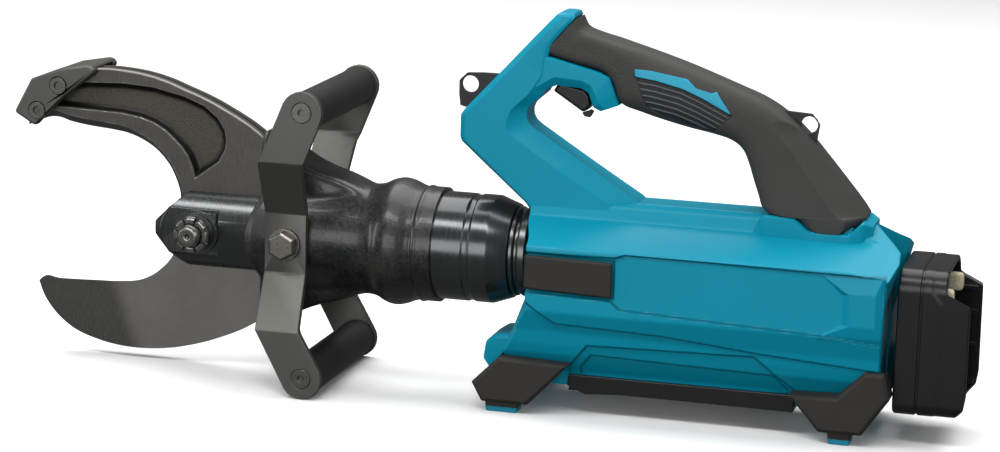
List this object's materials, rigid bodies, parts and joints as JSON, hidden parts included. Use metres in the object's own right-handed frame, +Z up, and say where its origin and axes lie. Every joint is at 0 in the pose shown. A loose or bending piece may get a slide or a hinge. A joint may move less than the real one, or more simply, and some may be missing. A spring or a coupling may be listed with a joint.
{
  "type": "rescue cutter",
  "caption": "Battery hydraulic rescue cutter: two curved jaws, rubber boot, carrying ring, bow-handled housing on rubber feet, open battery mount.",
  "frame": {"origin": "centre of the bounding box's underside, on the ground that the tool stands on", "axes": "+X from the jaws towards the battery mount, +Z up, Y across, the tool standing on its feet"},
  "size_m": [0.7281, 0.142, 0.2893],
  "materials": {
    "teal_plastic": "satin moulded plastic",
    "grip_rubber": "grained soft over-mould",
    "pad_rubber": "matt bumper rubber",
    "boot_rubber": "semi-gloss moulded rubber",
    "black_plastic": "semi-gloss moulded plastic",
    "cream_foam": "soft cream foam",
    "forged_steel": "dark forged steel with ground edges",
    "blade_steel": "ground blade steel",
    "black_oxide": "black oxide, brushed",
    "phosphate": "manganese phosphate",
    "grip_bar_black": "matt black",
    "cylinder_black": "gloss black",
    "zinc_steel": "dull zinc plated steel",
    "ground_steel": "ground and hard plated",
    "stamped_steel": "black stamped steel",
    "drive_aluminium": "die cast",
    "rotor_copper": "wound rotor",
    "board_green": "circuit board"
  },
  "bodies": {
    "root": {"housing_left": "teal_plastic", "grip_left": "grip_rubber", "side_pad_left": "pad_rubber", "foot_front_left": "pad_rubber", "foot_rear_left": "pad_rubber", "housing_right": "teal_plastic", "grip_right": "grip_rubber", "side_pad_right": "pad_rubber", "foot_front_right": "pad_rubber", "foot_rear_right": "pad_rubber", "base_plate": "black_plastic", "strap_eyelet_front": "stamped_steel", "strap_eyelet_rear": "stamped_steel", "battery_adapter": "black_plastic", "battery_bracket": "black_plastic", "terminal_block": "black_plastic", "cushion_1": "cream_foam", "cushion_2": "cream_foam", "switch_body": "black_plastic", "motor_can": "drive_aluminium", "gear_case": "drive_aluminium", "pump_block": "drive_aluminium", "swivel_bearing": "ground_steel", "oil_tank": "black_plastic", "controller_board": "board_green"},
    "head": {"clevis": "black_oxide", "pivot_pin": "black_oxide", "pivot_nut": "black_oxide", "lock_washer": "black_oxide", "cylinder_barrel": "cylinder_black", "swivel_neck": "black_oxide", "boot": "boot_rubber", "return_spring": "zinc_steel", "side_bar_left": "phosphate", "side_bar_right": "phosphate", "ring_bolt_left": "zinc_steel", "ring_bolt_right": "zinc_steel", "ring_washer_left": "zinc_steel", "ring_washer_right": "zinc_steel", "grip_bar_top": "grip_bar_black", "grip_bar_bottom": "grip_bar_black", "grip_screw_top_left": "black_oxide", "grip_screw_top_right": "black_oxide", "grip_screw_bottom_left": "black_oxide", "grip_screw_bottom_right": "black_oxide"},
    "upper_jaw": {"upper_jaw": "forged_steel", "tip_guide": "phosphate", "guide_screw_1": "black_oxide", "guide_screw_2": "black_oxide", "upper_link_pin": "ground_steel"},
    "lower_jaw": {"lower_blade": "blade_steel", "lower_link_pin": "ground_steel"},
    "upper_link": {"upper_link": "black_oxide"},
    "lower_link": {"lower_link": "black_oxide"},
    "piston": {"piston_rod": "ground_steel", "rod_pin": "black_oxide"},
    "trigger": {"trigger": "black_plastic"},
    "lock_lever": {"lock_lever": "black_plastic"},
    "rotor": {"motor_rotor": "rotor_copper"},
    "eccentric": {"pump_eccentric": "ground_steel"}
  },
  "joints": [
    {"name": "head_swivel", "type": "hinge", "parent": "root", "child": "head", "pos_m": [0.03425, 0, 0.1095], "axis": [1, 0, 0], "range_deg": [-175, 175]},
    {"name": "jaw_close", "type": "hinge", "parent": "head", "child": "upper_jaw", "pos_m": [-0.21575, 0, 0.1095], "axis": [0, -1, 0], "range_deg": [0, 28], "deforming": ["boot"]},
    {"name": "lower_jaw_close", "type": "hinge", "parent": "head", "child": "lower_jaw", "pos_m": [-0.21575, 0, 0.1095], "axis": [0, 1, 0], "range_deg": [0, 28], "deforming": ["boot"]},
    {"name": "piston_stroke", "type": "slide", "parent": "head", "child": "piston", "axis": [-1, 0, 0], "range_m": [0, 0.0346], "deforming": ["return_spring"]},
    {"name": "upper_link_turn", "type": "hinge", "parent": "upper_jaw", "child": "upper_link", "pos_m": [-0.16101, 0, 0.13861], "axis": [0, 1, 0], "range_deg": [0, 49]},
    {"name": "lower_link_turn", "type": "hinge", "parent": "lower_jaw", "child": "lower_link", "pos_m": [-0.16101, 0, 0.08039], "axis": [0, -1, 0], "range_deg": [0, 49]},
    {"name": "trigger_pull", "type": "hinge", "parent": "root", "child": "trigger", "pos_m": [0.05175, 0, 0.2349], "axis": [0, -1, 0], "range_deg": [0, 5], "stiffness_Nm_per_rad": 0.4, "springref_deg": -5.73},
    {"name": "lock_lever_turn", "type": "hinge", "parent": "trigger", "child": "lock_lever", "pos_m": [0.07605, 0, 0.2175], "axis": [0, -1, 0], "range_deg": [0, 12], "stiffness_Nm_per_rad": 0.05, "springref_deg": -11.46},
    {"name": "motor_spin", "type": "hinge", "parent": "root", "child": "rotor", "pos_m": [0.16425, 0, 0.0975], "axis": [1, 0, 0], "continuous": true},
    {"name": "pump_spin", "type": "hinge", "parent": "root", "child": "eccentric", "pos_m": [0.10425, 0, 0.0975], "axis": [1, 0, 0], "continuous": true}
  ],
  "couplings": [
    {"joint": "lower_jaw_close", "follows": "jaw_close", "ratio": 1},
    {"joint": "piston_stroke", "follows": "jaw_close", "m_per_rad": 0.070597},
    {"joint": "upper_link_turn", "follows": "jaw_close", "ratio": 1.7321},
    {"joint": "lower_link_turn", "follows": "jaw_close", "ratio": 1.7321},
    {"joint": "pump_spin", "follows": "motor_spin", "ratio": 0.25}
  ]
}
